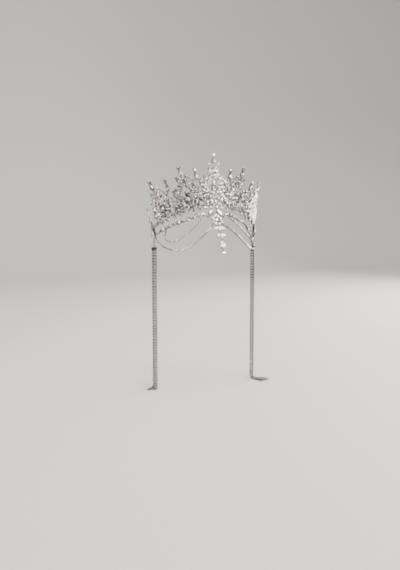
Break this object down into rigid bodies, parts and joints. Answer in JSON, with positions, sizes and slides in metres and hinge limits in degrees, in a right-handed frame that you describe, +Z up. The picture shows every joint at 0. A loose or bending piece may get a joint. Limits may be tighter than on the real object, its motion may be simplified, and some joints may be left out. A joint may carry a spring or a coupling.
{
  "type": "bridal crown",
  "caption": "Tall openwork bridal crown with set stones, a forehead ornament with a hanging drop, draped chains and two long tassels.",
  "frame": {"origin": "midway between the crown's two ends at the height of the band's ends, where the crown sits on the head", "axes": "+Z up, -Y towards the forehead (the front), +X to the right as seen from the front"},
  "size_m": [0.196, 0.0922, 0.3396],
  "materials": {
    "crown_frame": "rhodium-plated, polished",
    "metal": "rhodium-plated, polished",
    "crystal": "clear cut crystal with a foiled back"
  },
  "bodies": {
    "root": {"crown_frame": "crown_frame", "finial_pear_1": "crystal", "finial_pear_2": "crystal", "finial_pear_3": "crystal", "finial_pear_4": "crystal", "finial_pear_5": "crystal", "finial_pear_6": "crystal", "finial_pear_7": "crystal", "finial_pear_8": "crystal", "finial_pear_9": "crystal", "ring_pear_1": "crystal", "ring_pear_3": "crystal", "ring_pear_5": "crystal", "ring_pear_7": "crystal", "ring_pear_9": "crystal", "end_stone_left": "crystal", "end_stone_right": "crystal", "centre_ornament": "metal", "ornament_pear_left": "crystal", "ornament_pear_right": "crystal", "ornament_stone": "crystal", "drop_fan_upper": "metal", "drop_fan_lower": "metal", "drop_pear": "crystal", "drop_round": "crystal", "forehead_chain_left": "metal", "forehead_chain_right": "metal", "swag_upper_left": "metal", "swag_upper_right": "metal", "swag_lower_left": "metal", "swag_lower_right": "metal", "tassel_link_left_1": "metal", "tassel_link_left_2": "metal", "tassel_link_left_3": "metal", "tassel_link_right_1": "metal", "tassel_link_right_2": "metal", "tassel_link_right_3": "metal", "tassel_left": "metal", "tassel_right": "metal"}
  },
  "joints": []
}
